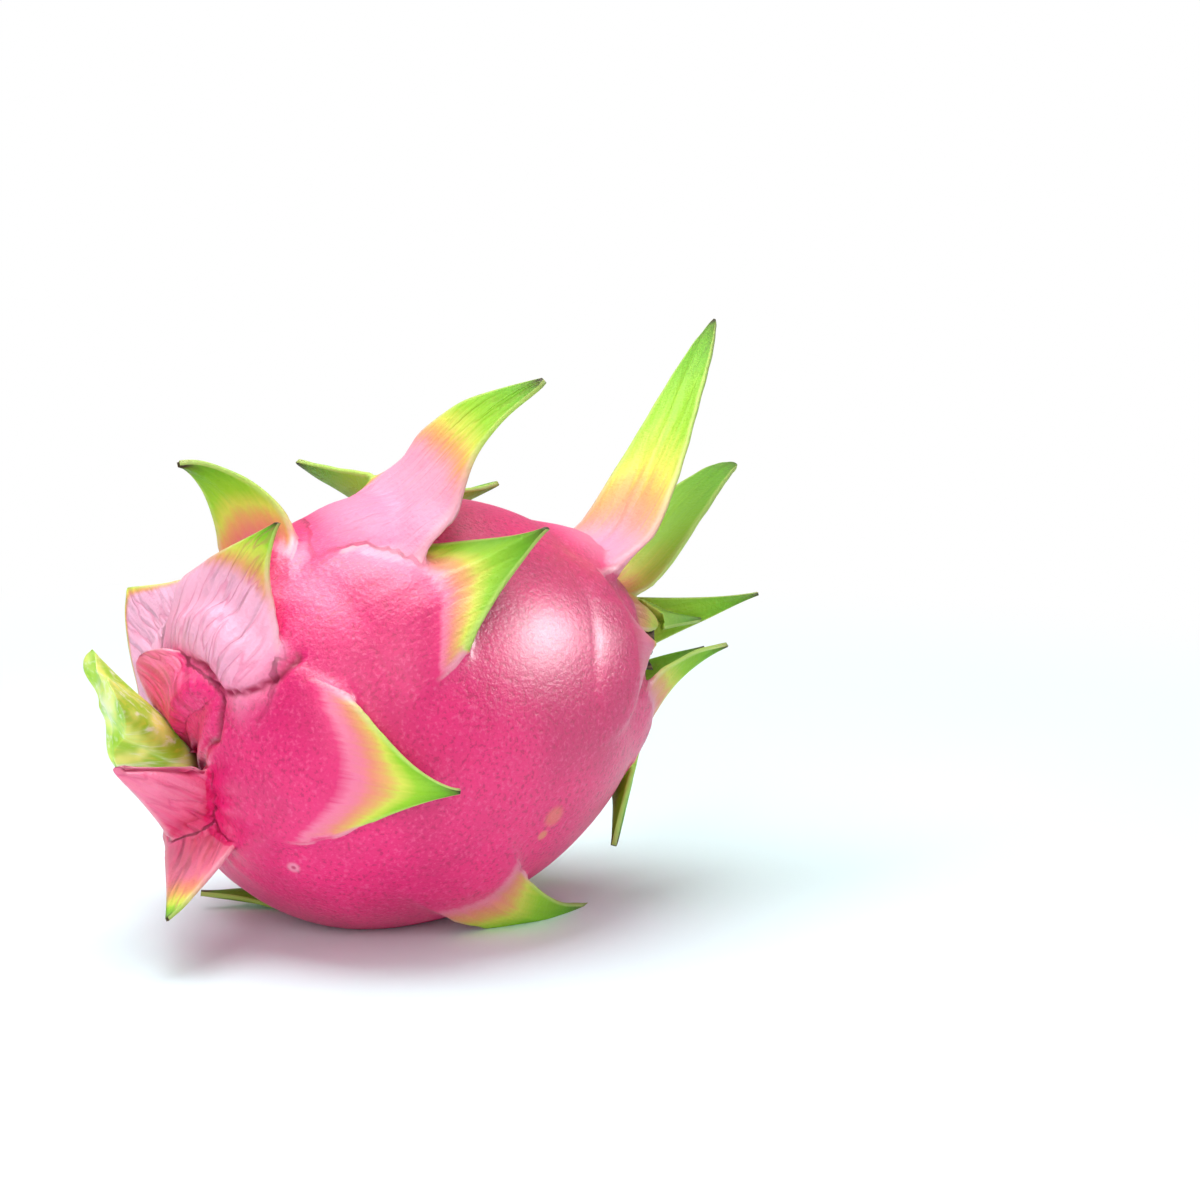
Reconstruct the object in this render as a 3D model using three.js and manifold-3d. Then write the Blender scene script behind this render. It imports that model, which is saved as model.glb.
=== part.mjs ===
// A whole dragon fruit lying on its side, with its cut stem and its dried flower.
// Millimetres, +Z up. The long axis runs from the stem (-X) to the flower (+X), raised at the flower,
// and the origin is the centre of the small flat spot that the fruit rests on.
import * as THREE from "three";
import { mergeVertices } from "three/addons/utils/BufferGeometryUtils.js";
import Module from "manifold-3d";

const wasm = await Module();
wasm.setup();

// Driving dimensions
const halfLength = 52.5;
const radius = 43.8;
const eggShape = 0.05;
const tiltDegrees = 12;
const flatSpotDepth = 1.1;
const stemDimple = { depth: 7, width: 15 };
const navel = { depth: 6, width: 10 };
const bodySides = 36;
const bodyRows = 26;

// Scales: what they share
const goldenTurn = 137.5;
const firstAround = 964.5;
const firstAlong = 20;
const alongStep = 5.6;
const crescent = { depth: 7, width: 12 };
const rootSunk = 3;
const fromPole = 0.12;
const smallestRadius = 4;
const liftLength = 8;
const marginThickness = 0.9;
const tipHalfWidth = 0.5;
const keelBow = 0.02;
const bowFade = 12;
const backRows = 3;
const bladeRows = 6;
const scaleColumns = 5;
const usualScale = {
  turn: 0, roll: 0, back: 24, spread: 5, taper: 1.25,
  flare: 25, curl: 0, rise: 6, lean: 0, field: 1.6, thick: 3.4,
};

// Scales, one for each step of the spiral. nudge: degrees along and around that it grew off the spiral.
// root: half width at its crescent, which grows by spread behind it; back: how far its root runs back.
// turn: heading away from the flower end; roll: tilt about that heading; lean: how far it bends aside.
// flare and curl: degrees that it stands off at its root, and bends on from there to its tip.
// field: how far the skin swells over its root; taper: how pointed it is; thick: at its middle line.
const scales = [
  {
    step: -1, nudge: [7.7, 53.5], length: 14.8, root: 10.4, spread: 3, back: 6, taper: 0.5,
    turn: 59, roll: 20, flare: 10, curl: 9, lean: 20, field: 3,
  },
  { step: 0, nudge: [48, 10], length: 29, root: 8, spread: 4, back: 8, turn: 203, flare: 4, field: 0.8 },
  {
    step: 1, nudge: [11, 19.9], length: 27.8, root: 16.5, back: 12, taper: 1,
    turn: 43, flare: 51, curl: -38, lean: -3.6, field: 3,
  },
  {
    step: 2, nudge: [-23.5, -38.7], length: 30, root: 11.2, spread: 1.5, back: 3, taper: 0.8,
    turn: 59, roll: -52, flare: 67, curl: 47, lean: -15,
  },
  { step: 3, nudge: [0, -12], length: 18, root: 10, spread: 4, back: 16, flare: 50, curl: 20 },
  {
    step: 4, nudge: [2.1, 20.8], length: 25.3, root: 19.6, spread: 8, back: 16, taper: 1.2,
    turn: 8.5, roll: 8, flare: 38, curl: -5, lean: -25, field: 3.5,
  },
  {
    step: 5, nudge: [-39, 23], length: 35, root: 11.5, spread: 1, back: 2, taper: 1,
    turn: -9, roll: -50, flare: 59,
  },
  {
    step: 6, nudge: [9, -50], length: 30, root: 10, back: 12, taper: 0.9,
    turn: 42, flare: 86, curl: 55, lean: 6,
  },
  {
    step: 7, nudge: [-2.7, 2.7], length: 23.6, root: 14.6, spread: 12, taper: 1.4,
    turn: -22, roll: 7, flare: 28, curl: -45, lean: 3.5, field: 2.2,
  },
  { step: 8, nudge: [7, -1], length: 22, root: 13, flare: 20 },
  {
    step: 9, nudge: [22, -5], length: 42, root: 23, taper: 0.8,
    turn: -9.5, flare: 69.5, curl: -34, rise: 10, lean: -25,
  },
  {
    step: 10, nudge: [10.6, 2.8], length: 36.7, root: 9.8, spread: 12, taper: 0.9,
    turn: -60, roll: -7, flare: 15, curl: -27, lean: 20,
  },
  {
    step: 11, nudge: [24, -65], length: 34, root: 8.5, back: 8, taper: 0.9,
    turn: 135, roll: 37, flare: 33,
  },
  {
    step: 12, nudge: [1.7, 10.3], length: 26.8, root: 13.9, spread: 12, taper: 1.3,
    turn: 8, roll: -7, flare: 15, curl: 45, lean: -12, field: 2.2,
  },
  { step: 13, nudge: [8, -4], length: 24, root: 12, flare: 8 },
  { step: 14, nudge: [8, 4], length: 25, root: 12, flare: 20 },
  { step: 16, nudge: [2, 0], length: 30, root: 12, flare: 25, curl: 10 },
  { step: 18, nudge: [26, 6], length: 22, root: 9, spread: 3, back: 8, turn: 176, flare: 6, field: 1 },
  {
    step: 19, nudge: [33, -24], length: 74, root: 12, back: 16, taper: 0.8,
    turn: 48, flare: 105, curl: -60, lean: 24,
  },
  { step: 20, nudge: [10, 0], length: 12, root: 12, spread: 8, back: 22, turn: -12, flare: 6 },
  { step: 21, nudge: [6, 0], length: 34, root: 11, back: 16, flare: 20, curl: 25 },
  {
    step: 22, nudge: [5.4, -18], length: 90, root: 13, back: 16, taper: 0.9,
    turn: 2.4, roll: -17, flare: 90, curl: -42, lean: 25, field: 3,
  },
  { step: 23, nudge: [0, 0], length: 30, root: 10, back: 14, flare: 25, curl: 30 },
  { step: 24, nudge: [-2, 0], length: 44, root: 10, back: 14, flare: 30, curl: 20 },
  { step: 25, nudge: [-2, 0], length: 30, root: 8, back: 12, flare: 35, curl: 10 },
];

// Stem and dried flower, each in a recess of the fruit
const gap = 0.35;
const shortestEdge = 0.03;
const stem = {
  start: [-45, -3, 2.4], reach: 15.5, rise: 1, rootRadius: 3, endRadius: 11,
  growth: 0.8, flatness: 0.75, wings: 3, wingHeight: 0.24, sides: 18, rows: 7,
};
const flower = {
  start: 41, rootRadius: 3.4, rimRadius: 7.5, length: 14, wall: 1.6, cupDepth: 8,
  lobes: 5, lobeHeight: 0.14, sides: 20, rows: 5,
};

const radians = THREE.MathUtils.degToRad;
const clamp = THREE.MathUtils.clamp;
const vector = (x, y, z) => new THREE.Vector3(x, y, z);

function easeIn(value) {
  const t = clamp(value, 0, 1);
  return t * t * (3 - 2 * t);
}

// The body's outline: place along the axis and radius, at an angle from the stem end.
function outline(along) {
  const r = radius * Math.sin(along) * (1 + eggShape * Math.cos(along));
  const dent = along < Math.PI / 2
    ? stemDimple.depth * Math.exp(-((r / stemDimple.width) ** 2))
    : -navel.depth * Math.exp(-((r / navel.width) ** 2));
  return { x: -halfLength * Math.cos(along) + dent, r };
}

// A point of the body with its directions: heading to the flower end, to the side, and out of the skin.
// Around 0 is the front (-Y) and 90 the top. Local axes: X along, Y front, Z up.
function skin(along, around) {
  const h = 0.001;
  const before = outline(along - h);
  const after = outline(along + h);
  const length = Math.hypot(after.x - before.x, after.r - before.r);
  const tx = (after.x - before.x) / length;
  const tr = (after.r - before.r) / length;
  const c = Math.cos(around);
  const s = Math.sin(around);
  const at = outline(along);
  return {
    point: vector(at.x, at.r * c, at.r * s),
    heading: vector(tx, tr * c, tr * s),
    side: vector(0, -s, c),
    out: vector(-tr, tx * c, tx * s),
    perRadian: length / (2 * h),
  };
}

// How far back the crescent, where a scale leaves the skin, has run at a place across it.
function crescentBack(across) {
  return crescent.depth * (1 - Math.exp(-((across / crescent.width) ** 2)));
}

// The middle surface of a scale: on the skin behind its crescent, then free and bent by flare and curl.
function scaleSurface(given) {
  const v = { ...usualScale, ...given };
  const along = radians(firstAlong + alongStep * v.step + v.nudge[0]);
  const around = radians(firstAround - goldenTurn * v.step + v.nudge[1]);
  const root = skin(along, around);
  const turn = radians(v.turn);
  const ct = Math.cos(turn);
  const st = Math.sin(turn);
  const heading = root.heading.clone().multiplyScalar(ct).addScaledVector(root.side, st);
  const flatSide = root.side.clone().multiplyScalar(ct).addScaledVector(root.heading, -st);
  const cr = Math.cos(radians(v.roll));
  const sr = Math.sin(radians(v.roll));
  const side = flatSide.clone().multiplyScalar(cr).addScaledVector(root.out, sr);
  const out = root.out.clone().multiplyScalar(cr).addScaledVector(flatSide, -sr);

  const lift = (s) => {
    if (s < 0) return s / 60;
    const curled = radians(v.curl) * Math.min(s / v.length, 2) ** 2;
    return radians(v.flare) * (1 - Math.exp(-s / v.rise)) + curled;
  };

  // The middle line, summed in small steps to both sides of the root.
  const step = 0.25;
  const pathTo = (goal) => {
    const count = Math.max(1, Math.round(Math.abs(goal) / step));
    const part = goal / count;
    let x = 0;
    let n = 0;
    for (let i = 0; i < count; i += 1) {
      const angle = lift((i + 0.5) * part);
      x += Math.cos(angle) * part;
      n += Math.sin(angle) * part;
    }
    return { x, n };
  };

  const widening = (v.taper * v.root) / v.length;
  const widthAt = (s) => tipHalfWidth + (s > 0
    ? v.root * Math.max(1 - s / v.length, 0) ** v.taper
    : v.root + v.spread * (1 - Math.exp((s * widening) / v.spread)));

  const point = (s, q) => {
    const l = q * widthAt(s);
    const bent = crescentBack(l);
    const lifted = s + bent;
    const path = pathTo(lifted);
    const angle = lift(lifted);
    const ahead = Math.max(s, 0);
    const drop = (l * l * (Math.exp(-ahead / bowFade) / radius + keelBow * easeIn(s / 10))) / 2;
    const x = path.x - bent + Math.sin(angle) * drop;
    const n = path.n - Math.cos(angle) * drop;
    const sideways = l + (radians(v.lean) * ahead * ahead) / v.length;
    const free = root.point.clone()
      .addScaledVector(heading, x)
      .addScaledVector(out, n)
      .addScaledVector(side, sideways);
    const a = clamp(along + (s * ct - l * st) / root.perRadian, fromPole, Math.PI - fromPole);
    const meanRadius = (Math.max(outline(a).r, smallestRadius) + outline(along).r) / 2;
    const b = around + (l * ct + s * st) / meanRadius;
    return skin(a, b).point.lerp(free, easeIn(lifted / liftLength));
  };
  return { v, point, widthAt };
}

// One scale as rings of points across it: top side from one margin to the other, then back underneath.
function scaleRings(given) {
  const { v, point, widthAt } = scaleSurface(given);
  const h = 0.05;
  const rings = [];
  for (let row = -backRows; row <= bladeRows; row += 1) {
    const s = row < 0 ? (v.back * row) / backRows : (v.length * row) / bladeRows;
    const top = [];
    const under = [];
    for (let column = 0; column < scaleColumns; column += 1) {
      const q = -1 + (2 * column) / (scaleColumns - 1);
      const across = point(s, Math.min(q + h, 1)).sub(point(s, Math.max(q - h, -1)));
      const ahead = point(Math.min(s + h, v.length), q).sub(point(Math.min(s, v.length - h), q));
      const normal = across.cross(ahead).normalize();
      const lifted = s + crescentBack(q * widthAt(s));
      const free = easeIn(lifted / liftLength);
      const toTip = clamp((v.length - s) / v.length, 0, 1);
      const blade = (marginThickness + (v.thick - marginThickness) * (1 - q * q) * toTip ** 0.6) / 2;
      const bulge = v.field * (1 - 0.5 * q * q) * (1.35 * easeIn((s + v.back) / v.back) - 0.35);
      const middle = point(s, q);
      top.push(middle.clone().addScaledVector(normal, bulge + (blade - bulge) * free));
      under.push(middle.clone().addScaledVector(normal, -rootSunk + (rootSunk - blade) * free));
    }
    rings.push([...top, ...under.reverse()]);
  }
  return rings;
}

// A closed solid from rings of equal count, capped at both ends by a fan about the ring's middle.
function loft(rings) {
  const positions = [];
  const index = [];
  const count = rings[0].length;
  for (const ring of rings) for (const p of ring) positions.push(p.x, p.y, p.z);
  for (let r = 0; r + 1 < rings.length; r += 1) {
    for (let i = 0; i < count; i += 1) {
      const j = (i + 1) % count;
      const a = r * count;
      const b = a + count;
      index.push(a + i, a + j, b + j, a + i, b + j, b + i);
    }
  }
  [rings[0], rings.at(-1)].forEach((ring, end) => {
    const middle = vector(0, 0, 0);
    ring.forEach((p) => middle.addScaledVector(p, 1 / count));
    const centre = positions.length / 3;
    positions.push(middle.x, middle.y, middle.z);
    const base = end === 0 ? 0 : (rings.length - 1) * count;
    for (let i = 0; i < count; i += 1) {
      const j = (i + 1) % count;
      if (end === 0) index.push(centre, base + j, base + i);
      else index.push(centre, base + i, base + j);
    }
  });
  const geometry = new THREE.BufferGeometry();
  geometry.setAttribute("position", new THREE.Float32BufferAttribute(positions, 3));
  geometry.setIndex(index);
  return geometry;
}

// three.js geometry to a solid, turned outside out if its faces point in, and back again.
function solidOf(geometry) {
  const bare = geometry.clone();
  bare.deleteAttribute("normal");
  bare.deleteAttribute("uv");
  const merged = mergeVertices(bare, 1e-3);
  const triVerts = new Uint32Array(merged.index.array);
  const build = () => new wasm.Manifold(new wasm.Mesh({
    numProp: 3,
    vertProperties: new Float32Array(merged.attributes.position.array),
    triVerts,
  }));
  const solid = build();
  if (solid.volume() > 0) return solid;
  for (let i = 0; i < triVerts.length; i += 3) {
    [triVerts[i + 1], triVerts[i + 2]] = [triVerts[i + 2], triVerts[i + 1]];
  }
  return build();
}

function geometryOf(solid) {
  const mesh = solid.getMesh();
  const geometry = new THREE.BufferGeometry();
  geometry.setAttribute("position", new THREE.BufferAttribute(mesh.vertProperties, 3));
  geometry.setIndex(new THREE.BufferAttribute(mesh.triVerts, 1));
  geometry.computeVertexNormals();
  return geometry;
}

// The outer body alone, without the small air pockets that close between neighbouring roots.
function largestBody(solid) {
  const bodies = solidOf(geometryOf(solid.simplify(shortestEdge))).decompose();
  return bodies.sort((a, b) => b.volume() - a.volume())[0];
}

// The body: a sphere whose points are moved onto the outline turned about the axis.
function bodyGeometry() {
  const geometry = new THREE.SphereGeometry(1, bodySides, bodyRows);
  const position = geometry.attributes.position;
  for (let i = 0; i < position.count; i += 1) {
    const along = Math.acos(clamp(position.getY(i), -1, 1));
    const around = Math.atan2(position.getZ(i), position.getX(i));
    const at = outline(along);
    position.setXYZ(i, at.x, at.r * Math.cos(around), at.r * Math.sin(around));
  }
  return geometry;
}

// The cut stem: narrow at the scar, opening into the winged flesh that was cut with it.
function stemRings(extra) {
  const rings = [];
  for (let row = 0; row <= stem.rows; row += 1) {
    const t = row / stem.rows;
    const size = stem.rootRadius + (stem.endRadius - stem.rootRadius) * t ** stem.growth + extra;
    const ring = [];
    for (let i = 0; i < stem.sides; i += 1) {
      const angle = (2 * Math.PI * i) / stem.sides;
      const r = size * (1 + stem.wingHeight * t * Math.cos(stem.wings * angle - 0.6 * t));
      const x = stem.start[0] - stem.reach * t + (row === 0 ? extra : 0);
      ring.push(vector(
        x,
        stem.start[1] + stem.flatness * r * Math.cos(angle),
        stem.start[2] + stem.rise * stem.reach * t + r * Math.sin(angle),
      ));
    }
    rings.push(ring);
  }
  return rings;
}

// The dried flower: a ragged cup. Without its inside it is the room that the fruit leaves for it.
function flowerRings(extra, withInside) {
  const ringAt = (x, size) => {
    const ring = [];
    for (let i = 0; i < flower.sides; i += 1) {
      const angle = (2 * Math.PI * i) / flower.sides;
      const raised = clamp((x - flower.start) / flower.length, 0, 1);
      const ragged = 1 + flower.lobeHeight * raised * Math.cos(flower.lobes * angle + 1);
      const back = 1.4 * raised * raised * Math.sin(3 * angle);
      ring.push(vector(x + back, size * ragged * Math.cos(angle), size * ragged * Math.sin(angle)));
    }
    return ring;
  };
  const rings = [];
  for (let row = 0; row <= flower.rows; row += 1) {
    const t = row / flower.rows;
    const size = flower.rootRadius + (flower.rimRadius - flower.rootRadius) * t + extra;
    rings.push(ringAt(flower.start + flower.length * t - (row === 0 ? extra : 0), size));
  }
  const end = flower.start + flower.length;
  if (!withInside) return [...rings, ringAt(end + 3, flower.rimRadius + extra)];
  rings.push(ringAt(end - 0.4, flower.rimRadius - flower.wall));
  rings.push(ringAt(end - flower.cupDepth, flower.rootRadius - 0.4));
  return rings;
}

// Fruit: body and scales in one, trimmed flat underneath, with room for stem and flower.
const tilt = radians(tiltDegrees);
const support = Math.hypot(halfLength * Math.sin(tilt), radius * Math.cos(tilt));
const placed = new THREE.Matrix4().makeTranslation(3.9, 0, support - flatSpotDepth)
  .multiply(new THREE.Matrix4().makeRotationY(-tilt))
  .multiply(new THREE.Matrix4().makeScale(1, -1, 1));

const floor = new THREE.BoxGeometry(400, 400, 100).translate(0, 0, -50);
let fruitSolid = solidOf(bodyGeometry().applyMatrix4(placed));
for (const scale of scales) {
  fruitSolid = fruitSolid.add(solidOf(loft(scaleRings(scale)).applyMatrix4(placed)));
}
fruitSolid = fruitSolid
  .subtract(solidOf(floor))
  .subtract(solidOf(loft(stemRings(gap)).applyMatrix4(placed)))
  .subtract(solidOf(loft(flowerRings(gap, false)).applyMatrix4(placed)));
fruitSolid = largestBody(fruitSolid);

const group = new THREE.Group();

function addPiece(name, solid, colour, roughness) {
  const material = new THREE.MeshStandardMaterial({ color: colour, roughness, metalness: 0 });
  const mesh = new THREE.Mesh(geometryOf(solid), material);
  mesh.name = name;
  group.add(mesh);
}

addPiece("fruit", fruitSolid, 0xd9366f, 0.45);
addPiece("cut_stem", solidOf(loft(stemRings(0)).applyMatrix4(placed)), 0x8fbf3a, 0.6);
addPiece("dried_flower", solidOf(loft(flowerRings(0, true)).applyMatrix4(placed)), 0x4a3526, 0.9);

export default group;
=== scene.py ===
import math

import bmesh
import bpy
from mathutils import Matrix, Vector, geometry, noise


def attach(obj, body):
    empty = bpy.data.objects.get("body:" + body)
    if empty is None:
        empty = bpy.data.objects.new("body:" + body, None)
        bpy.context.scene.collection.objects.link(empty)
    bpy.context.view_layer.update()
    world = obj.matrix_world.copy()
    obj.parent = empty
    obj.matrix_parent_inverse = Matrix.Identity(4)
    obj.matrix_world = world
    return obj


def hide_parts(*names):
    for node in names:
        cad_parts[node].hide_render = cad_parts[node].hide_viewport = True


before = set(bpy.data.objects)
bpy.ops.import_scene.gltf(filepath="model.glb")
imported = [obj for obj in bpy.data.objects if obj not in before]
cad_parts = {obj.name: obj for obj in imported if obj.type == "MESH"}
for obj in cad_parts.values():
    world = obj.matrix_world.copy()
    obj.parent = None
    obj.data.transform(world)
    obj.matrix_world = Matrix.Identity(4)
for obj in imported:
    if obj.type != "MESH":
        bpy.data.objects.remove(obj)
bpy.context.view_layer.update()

# A whole dragon fruit lying on its side. Lengths are in mm until a piece is placed, then in metres.
mm = 0.001

fruit = {
    "halfLength": 52.5,
    "radius": 43.8,
    "eggShape": 0.05,       # how much thicker it is towards the stem
    "tiltDegrees": 12,      # its flower end lies higher
    "flatSpotDepth": 1.1,   # how much of the underside the flat spot takes off
    "middleX": 3.9,
    "stemDimple": {"depth": 7, "width": 15},
    "navel": {"depth": 6, "width": 10},
    "sides": 220,
    "rows": 150,
    "lumpHeight": 0.5,      # the skin is a little uneven
    "lumpSize": 22,
    "puckerHeight": 0.9,    # folds that run out from the stem
    "puckerCount": 17,
    "puckerReach": 17,
    "puckerStart": 6,       # how far from the axis they are at full height
    "puckerTwist": 3,       # how unevenly they are spaced
}

tilt = math.radians(fruit["tiltDegrees"])
support = math.hypot(fruit["halfLength"] * math.sin(tilt), fruit["radius"] * math.cos(tilt))
middle = Vector((fruit["middleX"], 0, support - fruit["flatSpotDepth"]))
placed = (Matrix.Scale(mm, 4) @ Matrix.Translation(middle) @ Matrix.Rotation(-tilt, 4, "Y")
          @ Matrix.Diagonal((1, -1, 1, 1)))


def easeIn(value):
    t = min(max(value, 0), 1)
    return t * t * (3 - 2 * t)


def outline(along):
    # the body's outline: place on the axis and radius, at an angle from the stem end
    r = fruit["radius"] * math.sin(along) * (1 + fruit["eggShape"] * math.cos(along))
    if along < math.pi / 2:
        dent = fruit["stemDimple"]["depth"] * math.exp(-((r / fruit["stemDimple"]["width"]) ** 2))
    else:
        dent = -fruit["navel"]["depth"] * math.exp(-((r / fruit["navel"]["width"]) ** 2))
    return -fruit["halfLength"] * math.cos(along) + dent, r


def skin(along, around):
    # a point of the skin with its directions: to the flower end, to the side, and out
    h = 0.001      # a small step, in radians
    beforeX, beforeR = outline(along - h)
    afterX, afterR = outline(along + h)
    length = math.hypot(afterX - beforeX, afterR - beforeR)
    tx = (afterX - beforeX) / length
    tr = (afterR - beforeR) / length
    c = math.cos(around)
    s = math.sin(around)
    x, r = outline(along)
    return (Vector((x, r * c, r * s)), Vector((tx, tr * c, tr * s)), Vector((0, -s, c)),
            Vector((-tr, tx * c, tx * s)), length / (2 * h))


def skinPoint(along, around):
    x, r = outline(along)
    return Vector((x, r * math.cos(around), r * math.sin(around)))


# Scales sit on a spiral, one for each step; nudge is how far one grew off it, in degrees along and around.
scaleRule = {
    "goldenTurn": 137.5,
    "firstAround": 964.5,
    "firstAlong": 20,
    "alongStep": 5.6,
    "crescentDepth": 7,     # a scale leaves the skin along a crescent
    "crescentWidth": 12,
    "rootSunk": 3,          # how deep its root reaches into the body
    "liftLength": 8,        # the length over which it comes free of the skin
    "marginThickness": 0.75,
    "tipHalfWidth": 0.35,
    "keelBow": 0.02,        # how much the free part bends across, in 1/mm
    "bowStart": 10,         # the length over which that begins
    "bowFade": 12,          # the length over which the body's own curve fades out of it
    "fromPole": 0.12,       # radians that its root keeps from either end of the axis
    "smallestRadius": 4,
    "lyingRadius": 60,      # of the curve that its root follows behind the crescent
    "marginCrowding": 0.35,
    "bulgeSink": 0.35,      # share of its bulge by which a field starts below the skin
    "columns": 24,
    "rows": 54,
    "pathStep": 0.5,
}

# the fine relief of a scale, in mm, or as a share where it says so
reliefRule = {
    "creaseWidth": 2.6,
    "creaseLength": 16,
    "creaseSharpness": 2.2,
    "creaseFade": 0.5,      # share of the scale's length
    "creaseUnder": 0.3,     # share of the creases' height that shows on the underside
    "keelWidth": 1.6,
    "seamAt": 0.94,         # share of the way from the middle to the margin
    "seamWidth": 0.05,      # also such a share
    "waveLength": 9,
}

# length, root (half the width there) and nudge are given for each scale, the rest only where it differs
usualScale = {
    "turn": 0,              # degrees that it points away from the flower end
    "roll": 0,              # degrees that it is tipped to one side
    "flare": 25,            # degrees that it stands off the skin
    "curl": 0,              # degrees that its tip bends further out, or back in where negative
    "lean": 0,              # degrees that its tip lies to the side, seen from its root
    "rise": 6,              # the length over which it bends outward
    "back": 24,             # how far its field runs on down the skin behind the crescent
    "spread": 5,            # how much wider the field gets there
    "field": 1.6,           # how high the field bulges
    "taper": 1.25,          # over 1 for hollow sides, under 1 for full ones
    "thick": 3.4,           # thickness along the middle
    "pink": 0.1,            # where along it the pink ends
    "green": 0.45,          # where along it the green is full
    "cup": 0.15,            # how far the green reaches back along the margins
    "pale": 0.0,            # how pale it and the skin over its root are
    "wrinkles": 0.1,
    "folds": 0.3,           # height of the creases along it
    "keel": 0.4,            # height of the ridge down its middle
    "roof": 0.3,            # from rounded (0) to folded along the middle (1)
    "wave": 0.5,            # how far its margins wave
    "seam": 0.35,           # height of the welts in which its margins run on down the skin
}

scales = [
    dict(step=-1, nudge=(7.7, 53.5), length=14.8, root=10.4, spread=3, back=6, taper=0.5, turn=59, roll=20,
         flare=10, curl=9, lean=20, field=3, pink=1.7, green=1, cup=0, pale=0.05, wrinkles=0.9, folds=0.5,
         keel=0, roof=0),
    dict(step=0, nudge=(48, 10), length=29, root=8, spread=4, back=8, turn=203, flare=4, field=0.8, pink=0.01,
         green=0.05),
    dict(step=1, nudge=(11, 19.9), length=27.8, root=16.5, back=12, taper=1, turn=43, flare=51, curl=-38,
         lean=-3.6, field=3, pink=0.75, green=0.98, cup=0.9, pale=0.9, wrinkles=0.9, folds=0.9, keel=0),
    dict(step=2, nudge=(-23.5, -38.7), length=30, root=11.2, spread=1.5, back=3, taper=0.8, turn=59, roll=-52,
         flare=67, curl=47, lean=-15, pink=1.7, green=1, cup=0, pale=0.1, wrinkles=1, folds=1.3, keel=0),
    dict(step=3, nudge=(0, -12), length=18, root=10, spread=4, back=16, flare=50, curl=20, pink=0.2,
         green=0.6),
    dict(step=4, nudge=(2.1, 20.8), length=25.3, root=19.6, spread=8, back=16, taper=1.2, turn=8.5, roll=8,
         flare=38, curl=-5, lean=-25, field=3.5, pink=0.4, green=0.8, cup=0.25, pale=0.8, wrinkles=1,
         folds=0.8, keel=0, roof=0),
    dict(step=5, nudge=(-39, 23), length=35, root=11.5, spread=1, back=2, taper=1, turn=-9, roll=-50,
         flare=59, pink=0.6, green=0.88, cup=0.1, pale=0.15, wrinkles=1, folds=1.0, keel=0),
    dict(step=6, nudge=(9, -50), length=30, root=10, back=12, taper=0.9, turn=42, flare=86, curl=55, lean=6,
         pink=0.16, green=0.5, cup=0.3, folds=0.9),
    dict(step=7, nudge=(-2.7, 2.7), length=23.6, root=14.6, spread=12, taper=1.4, turn=-22, roll=7, flare=28,
         curl=-45, lean=3.5, field=2.2, pink=0.22, green=0.6, cup=0.5, keel=0.7, roof=0.8),
    dict(step=8, nudge=(7, -1), length=22, root=13, flare=20),
    dict(step=9, nudge=(22, -5), length=42, root=23, taper=0.8, turn=-9.5, flare=69.5, curl=-34, rise=10,
         lean=-25, pink=0.33, green=0.6, pale=0.5, wrinkles=0.4, seam=0),
    dict(step=10, nudge=(10.6, 2.8), length=36.7, root=9.8, spread=12, taper=0.9, turn=-60, roll=-7, flare=15,
         curl=-27, lean=20, pink=0.1, green=0.4),
    dict(step=11, nudge=(24, -65), length=34, root=8.5, back=8, taper=0.9, turn=135, roll=37, flare=33,
         pink=0.02, green=0.1),
    dict(step=12, nudge=(1.7, 10.3), length=26.8, root=13.9, spread=12, taper=1.3, turn=8, roll=-7, flare=15,
         curl=45, lean=-12, field=2.2, pink=0.1, green=0.45, cup=0.55, keel=0.7, roof=1),
    dict(step=13, nudge=(8, -4), length=24, root=12, flare=8),
    dict(step=14, nudge=(8, 4), length=25, root=12, flare=20),
    dict(step=16, nudge=(2, 0), length=30, root=12, flare=25, curl=10),
    dict(step=18, nudge=(26, 6), length=22, root=9, spread=3, back=8, turn=176, flare=6, field=1, pink=0.02,
         green=0.12),
    dict(step=19, nudge=(33, -24), length=74, root=12, back=16, taper=0.8, turn=48, flare=105, curl=-60,
         lean=24, pink=0.05, green=0.25, pale=0.3),
    dict(step=20, nudge=(10, 0), length=12, root=12, spread=8, back=22, turn=-12, flare=6, pink=0.8, green=1),
    dict(step=21, nudge=(6, 0), length=34, root=11, back=16, flare=20, curl=25),
    dict(step=22, nudge=(5.4, -18), length=90, root=13, back=16, taper=0.9, turn=2.4, roll=-17, flare=90,
         curl=-42, lean=25, field=3, pink=0.1, green=0.4, pale=0.4, folds=0.8),
    dict(step=23, nudge=(0, 0), length=30, root=10, back=14, flare=25, curl=30),
    dict(step=24, nudge=(-2, 0), length=44, root=10, back=14, flare=30, curl=20),
    dict(step=25, nudge=(-2, 0), length=30, root=8, back=12, flare=35, curl=10),
]


def crescentBack(across):
    return scaleRule["crescentDepth"] * (1 - math.exp(-((across / scaleRule["crescentWidth"]) ** 2)))


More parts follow.
